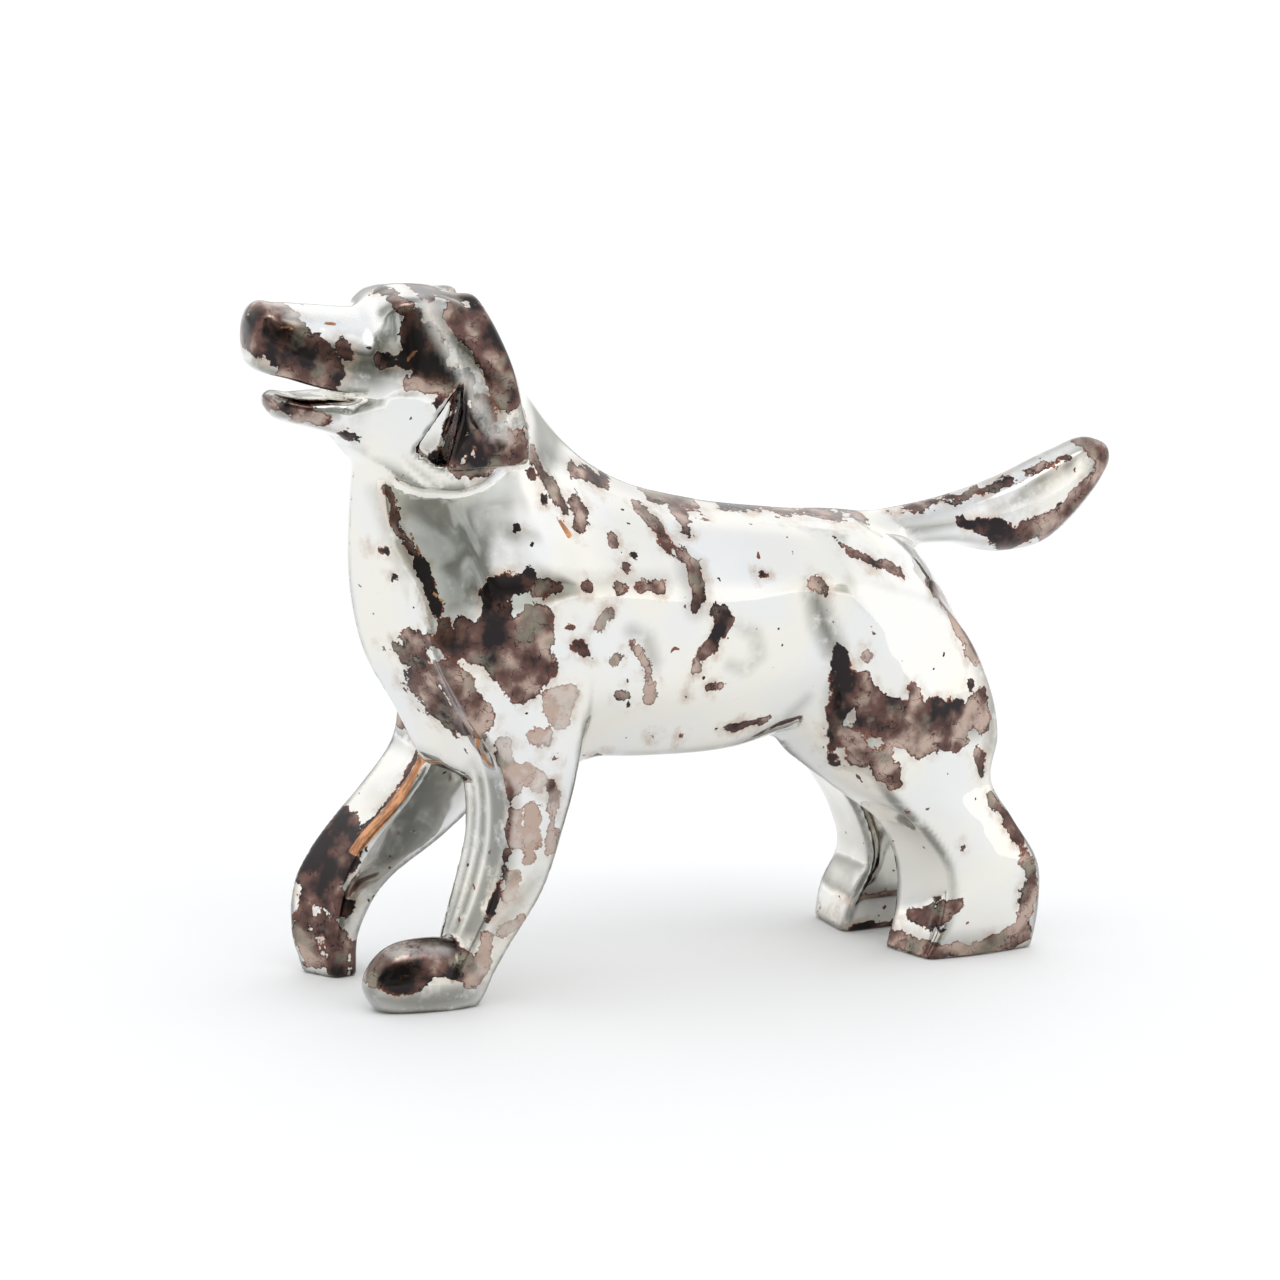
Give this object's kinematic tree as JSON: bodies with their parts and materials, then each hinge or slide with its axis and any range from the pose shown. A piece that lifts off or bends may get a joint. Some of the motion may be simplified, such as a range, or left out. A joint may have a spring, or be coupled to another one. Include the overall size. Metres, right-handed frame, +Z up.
{
  "type": "dog figurine",
  "caption": "A small cast metal figurine of a walking retriever-like dog with drooping ears and a raised feathered tail, mirror silver with brown tarnish.",
  "frame": {"origin": "on the standing surface, under the middle of the bounding box; all four soles are at z = 0", "axes": "+Z up; the dog faces -Y and its tail points to +Y; +X is the dog's left side"},
  "size_m": [0.0276, 0.1028, 0.0785],
  "materials": {
    "silver_plate": "mirror-polished silver plate with brown, purple and black tarnish patches under clear lacquer",
    "dowel_brass": "plain turned brass, hidden inside"
  },
  "bodies": {
    "root": {"left_half_casting": "silver_plate", "right_half_casting": "silver_plate", "tail_casting": "silver_plate", "locating_dowels": "dowel_brass"}
  },
  "joints": []
}
